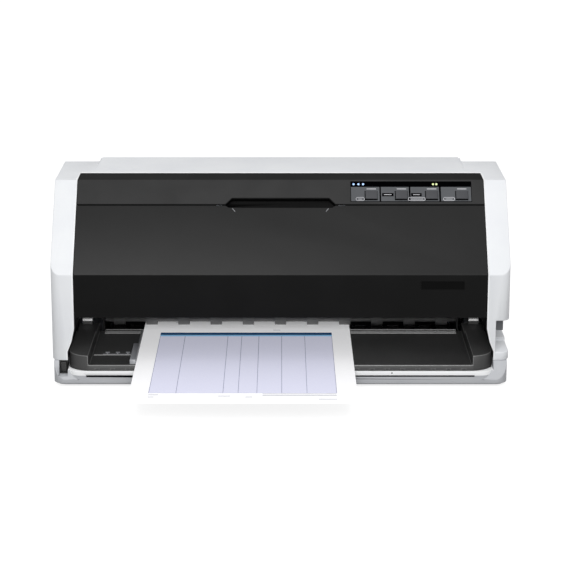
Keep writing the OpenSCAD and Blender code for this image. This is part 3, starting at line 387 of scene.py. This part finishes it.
BODY_OF = {n: body for body, nodes in frame["record"]["behaviour"]["bodies"].items()
           for n in nodes}
FOLD = math.radians(32)  # a fold sharper than this is an edge that gets rounded
FLAT = math.radians(1)  # faces that meet flatter than this are one face
CLOSE = 0.002 * MM  # corners nearer than this are one corner


def soften(piece, edge, rim=None):
    """Rounds a piece's edges to that radius in mm, as its mould does.
    The rounding takes the finish rim, or that of the faces beside it."""
    for face in piece.data.polygons:
        face.use_smooth = True
    if not edge:
        return
    bevel = piece.modifiers.new("rounded_edges", "BEVEL")
    bevel.width = edge * MM
    bevel.segments = 3
    bevel.limit_method = "ANGLE"
    bevel.angle_limit = FOLD
    bevel.use_clamp_overlap = False
    bevel.harden_normals = True
    if rim:
        bevel.material = len(piece.data.materials)
        piece.data.materials.append(rim)


def finish_piece(name, bm, finishes, body, edge=0.0):
    """Turns drawn faces into a piece that rides on a body."""
    bmesh.ops.recalc_face_normals(bm, faces=bm.faces)
    mesh = bpy.data.meshes.new(name)
    bm.to_mesh(mesh)
    bm.free()
    piece = bpy.data.objects.new(name, mesh)
    bpy.context.scene.collection.objects.link(piece)
    for each in finishes:
        mesh.materials.append(each)
    if edge:
        soften(piece, edge)
    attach(piece, body)
    return piece


def remould(node, edge, other=None, part=None, cuts=(), rim=None):
    """Redraws a moulding with the rounded edges that its mould gives it.
    The faces that part picks get the other finish; cuts are planes that divide faces."""
    bm = bmesh.new()
    bm.from_mesh(frame["nodes"][node].data)
    bmesh.ops.remove_doubles(bm, verts=bm.verts, dist=CLOSE)
    bmesh.ops.dissolve_limit(bm, angle_limit=FLAT, verts=bm.verts, edges=bm.edges)
    for point, across in cuts:
        bmesh.ops.bisect_plane(bm, geom=bm.verts[:] + bm.edges[:] + bm.faces[:], dist=1e-6,
                               plane_co=at(*point), plane_no=across)
    finishes = [FINISHES[node]]
    if other:
        finishes.append(other)
        for face in bm.faces:
            if part(face.calc_center_median() / MM - Vector((0, LIP_Y, 0)), face.normal):
                face.material_index = 1
    piece = finish_piece(node + "_moulding", bm, finishes, BODY_OF[node])
    soften(piece, edge, rim)
    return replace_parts(piece, node)


def block(bm, lo, hi, place=at, finish=0):
    """Draws a block between two corners."""
    corners = [bm.verts.new(place(x, y, z)) for z in (lo[2], hi[2])
               for x, y in ((lo[0], lo[1]), (hi[0], lo[1]), (hi[0], hi[1]), (lo[0], hi[1]))]
    sides = [(3, 2, 1, 0), (4, 5, 6, 7)] + [(i, (i + 1) % 4, 4 + (i + 1) % 4, 4 + i)
                                            for i in range(4)]
    for side in sides:
        bm.faces.new([corners[i] for i in side]).material_index = finish


def oval(bm, x0, x1, y0, y1, z0, z1, line, finish, steps=16):
    """Draws a thin raised ring with round ends on the slanted face."""
    radius = (y1 - y0) / 2
    rings = []
    for z, r in ((z0, radius), (z1, radius), (z1, radius - line), (z0, radius - line)):
        ring = []
        for i in range(steps):
            a = 2 * math.pi * (i + 0.5) / steps
            centre = x1 - radius if math.cos(a) > 0 else x0 + radius
            ring.append(bm.verts.new(on_slope(centre + r * math.cos(a),
                                              y0 + radius + r * math.sin(a), z)))
        rings.append(ring)
    for near, far in zip(rings, rings[1:] + rings[:1]):
        for i in range(steps):
            j = (i + 1) % steps
            bm.faces.new((near[i], near[j], far[j], far[i])).material_index = finish


def trim(name, blocks, finishes, body, edge=0.0):
    """Draws small blocks of one body; each is (low corner, high corner, place, finish)."""
    bm = bmesh.new()
    for lo, hi, place, finish in blocks:
        block(bm, lo, hi, place, finish)
    return finish_piece(name, bm, finishes, body, edge)


# ---------- the rounded mouldings ----------

def lip_face(centre, normal):
    """The lip's top, and its front above the dark line."""
    if abs(centre.x) > COLUMN_X or centre.y > 40:
        return False
    if normal.z > 0.9:
        return abs(centre.z - LIP_TOP) < 0.5
    return (centre.z > LIP_LINE - 0.1 and centre.y < 14
            and abs(normal.z) < 0.3 and normal.y < 0.1)


def painted_shade_side_face(centre, normal):
    """The inner sides of the columns, beside the front opening, which get painted shade."""
    return (OPENING_X < abs(centre.x) < COLUMN_X and centre.x * normal.x < 0
            and abs(normal.x) > 0.5 and FACE_Y < centre.y < 120)


remould("base_case", 0.5, lip_abs, lip_face, [((0, 0, LIP_LINE), (0, 0, 1))])
# the strip's level top gets the darker copy: painted shade
remould("control_strip", 0.5, strip_top_painted_shade_abs, lambda centre, normal: normal.z > 0.9)
# the upright band below the crease gets the darker copy: painted shade
remould("front_cover", 0.5, smoked_painted_shade,
        lambda centre, normal: centre.z < CREASE_Z and normal.y < -0.9)
remould("indicator_lenses", 0, green_lens, lambda centre, normal: centre.x > 120)
# the two cuts divide the roof's faces, which run round the rear opening
# the columns' inner sides beside the opening in near-black painted shade
remould("top_case", 0.8, opening_painted_shade_abs, painted_shade_side_face,
        [((0, 0, 0), (1, 0, 0)), ((0, HATCH_Y, 0), (0, 1, 0))])
# the tray's deep faces that face front or back in near-black painted shade; its rounded edges take
# a painted highlight
guide = remould("sheet_guide", 0.6, opening_painted_shade_abs,
                lambda centre, normal: centre.y > 80 and abs(normal.y) > 0.9,
                rim=guide_painted_highlight_abs)
blocks = remould("stop_blocks", 0.5, guide_abs, lambda centre, normal: centre.z < BLOCK_FOOT,
                 [((0, 0, BLOCK_FOOT), (0, 0, 1))])
fence = remould("edge_guide", 0.6)

for moulding, radius in {
        "rear_cover": 0.8, "rear_panel": 0.4, "finger_tray": 0.3,
        "release_lever": 0.7, "power_switch": 0.3, "power_rocker": 0.4, "rubber_feet": 0.5,
        "key_1": 0.6, "key_2": 0.6, "key_3": 0.6, "key_4": 0.6}.items():
    remould(moulding, radius)


# ---------- the key panel ----------

def panel_film():
    """The key panel's printed film: a black ground, a grey cell round each key with a painted
    shadow of black ground below and left of it, pale marks.
    """
    bm = bmesh.new()
    ground, cell, pale = range(3)
    # how far the film's layers stand out of the slanted face
    film, head, cell_top, ink, ink_over = 0.4, 0.5, 0.55, 0.62, 0.68
    left_end, right_end = PANEL_X, PANEL_X + PANEL_W
    band = PANEL_LOW + 17.8
    key_half, key_low, key_high = 6.65, KEY_UP - 5.1, KEY_UP + 5.1
    painted_shadow_left = 0.5

    def patch(x0, x1, y0, y1, low, high, finish):
        block(bm, (x0, y0, low), (x1, y1, high), on_slope, finish)

    patch(left_end, right_end, band, PANEL_LOW + PANEL_H, 0, head, ground)
    patch(left_end, right_end, PANEL_LOW, key_low, 0, film, ground)
    patch(left_end, right_end, key_high, band, 0, film, ground)
    edges = [left_end] + [x for key in KEY_X for x in (key - key_half, key + key_half)]
    edges.append(right_end)
    for left, right in zip(edges[::2], edges[1::2]):
        patch(left, right, key_low, key_high, 0, film, ground)
    cells = [(74.8, 104.9), (106.5, 136.1), (137.8, 168.1), (170.1, 202.0)]
    cell_low, cell_high = PANEL_LOW + 0.4, band - 0.3
    for (left, right), key in zip(cells, KEY_X):
        # the cell stops 0.5 mm left of each key and 1.2 mm below it, so the black ground shows
        # there: a painted shadow of the key
        key_left, key_right = key - key_half - painted_shadow_left, key + key_half
        for x0, x1, y0, y1 in ((left, key_left, cell_low, cell_high),
                               (key_right, right, cell_low, cell_high),
                               (key_left, key_right, cell_low, key_low - 1.2),
                               (key_left, key_right, key_high, cell_high)):
            patch(x0, x1, y0, y1, film, cell_top, cell)
        patch(key - 5, key + 5, band - 3.2, band - 2.2, cell_top, ink, pale)
    for x0, x1 in ((79.7, 89.1), (134.9, 153.5), (172.2, 184.7)):
        oval(bm, x0, x1, PANEL_LOW + 0.8, PANEL_LOW + 5.2, cell_top, ink, 0.55, pale)
        patch(x0 + 2.5, x1 - 2.5, PANEL_LOW + 2.6, PANEL_LOW + 3.3, cell_top, ink, pale)
    for x0, x1 in ((107.7, 119.8), (138.4, 149.6)):
        patch(x0, x1, KEY_UP - 1.4, KEY_UP + 2.4, cell_top, ink, ground)
        patch(x0 + 2, x1 - 2, KEY_UP + 0.2, KEY_UP + 0.9, ink, ink_over, pale)
    drawn = finish_piece("panel_film", bm, [panel_black, panel_grey, panel_line], "root")
    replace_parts(drawn, "control_overlay")


panel_film()


# ---------- beads, painted shade lines and marks on the case ---

def opening_bead():
    """The fine bead on the white case round the black opening, in the lip's paler white: a painted
    highlight along the opening's edge.
    """
    side = [at(-224.2, 12.4, 27), at(-224.2, 12.4, 36.2), at(-219.8, 12.4, 47.2),
            at(-216.8, 12.4, 61.2), at(-216.8, 12.4, 119), at(-216.8, 85.3, 204.6),
            at(-216.8, 121.2, 205.2), at(-215.8, 122, 205.2)]
    path = side + [Vector((-p.x, p.y, p.z)) for p in reversed(side)]
    curve = bpy.data.curves.new("opening_bead", "CURVE")
    curve.dimensions = "3D"
    curve.bevel_depth = 0.8 * MM
    curve.bevel_resolution = 2
    line = curve.splines.new("POLY")
    line.points.add(len(path) - 1)
    for point, place in zip(line.points, path):
        point.co = (*place, 1)
    drawn = bpy.data.objects.new("opening_bead_path", curve)
    bm = bmesh.new()
    bm.from_mesh(drawn.to_mesh())
    bpy.data.objects.remove(drawn)
    for face in bm.faces:
        face.smooth = True
    finish_piece("opening_bead", bm, [lip_abs], "root")


def both_sides(near, far):
    """The two spans between those distances, left and right of the middle."""
    return (-far, -near), (near, far)


opening_bead()
# a black strip under the lip's white front: painted shade of the groove there
trim("lip_groove_painted_shade", [((-203, -0.1, 12.35), (203, 0.5, LIP_LINE + 0.1), at, 0)], [panel_black],
     "root")
# a near-black strip in the gap under the control strip: painted shadow
trim("strip_gap_painted_shadow", [((a, 82.2, -1), (b, 83.8, -0.25), on_slope, 0)
                    for a, b in both_sides(68, 215)],
     [strip_painted_shade_abs], "root")
trim("lip_mark", [((115.6, -0.02, 15.6), (117.6, 1.5, 17.1), at, 0)], [panel_black],
     "root", 0.3)
# a bar with three short T-shaped ticks
scale = trim("paper_scale", [((-190, 53, 20.9), (-158, 54.2, 21.1), at, 0)] + [
    (lo, hi, at, 0) for x in (-185.7, -174.8, -163.9)
    for lo, hi in (((x - 0.8, 54, 20.9), (x + 0.8, 60, 21.1)),
                   ((x - 2.2, 59, 20.9), (x + 2.2, 62, 21.1)))],
             [ticks_and_painted_glints_abs], "root")
# short pale steps that follow the finger recess's two slanting ends: painted glints
trim("cover_dish_painted_glints", [
    ((side * x - 0.35, 77.2 - y, 0), (side * x + 0.35, 78.2 - y, 0.25), on_slope, 0)
    for side in (-1, 1) for x, y in ((50.4, 0), (49.7, 0.9), (49, 1.8), (48.3, 2.7))],
     [ticks_and_painted_glints_abs], "front_cover_body")
trim("rear_cover_flanges", [((a, 3.5, -3), (b, 138, 0.4), on_lid, 0)
                            for a, b in both_sides(195.3, 197.3)],
     [white_abs], "rear_cover_body")


# ---------- the printed form ----------

def printed_form():
    """The form's print: a tinted table under a dark head, its rules and lines of small type."""
    bm = bmesh.new()
    tint, band, sky, rule, small = range(5)
    ink = 0.03
    z0, z1 = FORM_TOP, FORM_TOP + ink
    z2 = z1 + ink
    left, right, foot, head = -132.2, 56.5, -94.7, 115.4
    sky_foot = head - 5.4
    rule_width, type_height = 0.5, 1.6
    block(bm, (left, foot, z0), (right, head, z1), finish=tint)
    block(bm, (left, head, z0), (right, 124.6, z2), finish=band)
    block(bm, (left, sky_foot, z1), (right, head, z2), finish=sky)
    for x in (left, -104.9, -57.9, -42.7, -23.9, 1.0, 26.3, right - rule_width):
        block(bm, (x, foot, z1), (x + rule_width, sky_foot, z2), finish=rule)
    block(bm, (left, foot, z1), (right, foot + rule_width, z2), finish=rule)
    for x0, x1, y in ((-118, -72, 183), (-118, -104, 166), (18, 40, 171), (-8, 0, 134),
                      (-132, -122, -101), (-132, -126, -108), (-62, -50, -105),
                      (-35, -28, -108), (-18, 56, -98), (-18, 56, -103), (38, 56, -115)):
        block(bm, (x0, y, z0), (x1, y + type_height, z1), finish=small)
    return finish_piece("printed_form", bm, [form_tint, form_band, form_sky, form_rule, form_type],
                        "paper")


form_print = printed_form()

# ---------- camera, light and table ----------

# stands 2.1 m in front and looks down by 14.5 degrees, as in the photo
camera = bpy.data.objects.new("camera", bpy.data.cameras.new("camera"))
camera.data.sensor_width = 36
camera.data.lens = 128.34
camera.location = (0, -2.12356, 0.63476)
camera.rotation_euler = (math.radians(75.48), 0, 0)
bpy.context.scene.collection.objects.link(camera)
bpy.context.scene.camera = camera

LAMPS_FACE = Vector((0, 0, 0.1))  # the middle of the printer, in metres
LAMP_AWAY = 2.6  # metres from there
TABLE_REACH = 14  # metres from its middle to a side
ROOM_LIGHT = (0.46, 0.46, 0.465, 1)
SEEN_WHITE = (1, 1, 1, 1)


def softbox(name, elevation, size, power):
    """A soft square lamp straight in front of the printer, that many degrees up."""
    lamp = bpy.data.lights.new(name, "AREA")
    lamp.size = size
    lamp.energy = power
    holder = bpy.data.objects.new(name, lamp)
    up = math.radians(elevation)
    away = Vector((0, -math.cos(up), math.sin(up)))
    holder.location = LAMPS_FACE + away * LAMP_AWAY
    holder.rotation_euler = away.to_track_quat("Z", "Y").to_euler()
    bpy.context.scene.collection.objects.link(holder)
    return holder


def aim(holder, pieces, state):
    """Has a lamp light only those pieces, or all but them."""
    group = bpy.data.collections.new(holder.name + "_pieces")
    for piece in pieces:
        group.objects.link(piece)
    for entry in group.collection_objects:
        entry.light_linking.link_state = state
    holder.light_linking.receiver_collection = group


# the high lamp lights the case; the low one reaches the form and the tray in the opening
form = [frame["nodes"]["paper_sheet"], form_print]
aim(softbox("front_softbox", elevation=40, size=1.8, power=53), form, "EXCLUDE")
aim(softbox("mouth_softbox", elevation=15.5, size=0.4, power=117),
    form + [guide, blocks, fence, scale], "INCLUDE")


def seen_directly(owner):
    """1 for what the camera sees, also in metal and through glass."""
    path = add(owner, "LightPath")
    total = path.outputs["Is Camera Ray"]
    for ray in ("Is Glossy Ray", "Is Transmission Ray"):
        total = add(owner, "Math", {"operation": "MAXIMUM"},
                    {0: total, 1: path.outputs[ray]}).outputs[0]
    return total


def white_room():
    """Plain light from all round, seen as white."""
    world = blank(bpy.data.worlds.new("white_room"))
    bpy.context.scene.world = world
    light = add(world, "Background", None, {"Color": ROOM_LIGHT})
    seen = add(world, "Background", None, {"Color": SEEN_WHITE})
    mix = add(world, "MixShader", None, {
        0: seen_directly(world), 1: light.outputs[0], 2: seen.outputs[0]})
    add(world, "OutputWorld", None, {"Surface": mix.outputs[0]})


def table():
    """A pale painted table that shows white and keeps the printer's shadow."""
    top = blank(bpy.data.materials.new("table_white"))
    pale = add(top, "BsdfDiffuse", None, {"Color": linear("#a8a8a8")})
    glow = add(top, "Emission", None, {"Color": SEEN_WHITE, "Strength": 0.85})
    lit = add(top, "AddShader", None, {0: pale.outputs[0], 1: glow.outputs[0]})
    dim = add(top, "BsdfDiffuse", None, {"Color": linear("#888888")})
    shade(top, add(top, "MixShader", None, {
        0: seen_directly(top), 1: dim.outputs[0], 2: lit.outputs[0]}))
    bm = bmesh.new()
    bmesh.ops.create_grid(bm, x_segments=1, y_segments=1, size=TABLE_REACH)
    mesh = bpy.data.meshes.new("table")
    bm.to_mesh(mesh)
    bm.free()
    mesh.materials.append(top)
    piece = bpy.data.objects.new("table", mesh)
    bpy.context.scene.collection.objects.link(piece)


white_room()
table()

bpy.context.scene.view_settings.view_transform = "Standard"
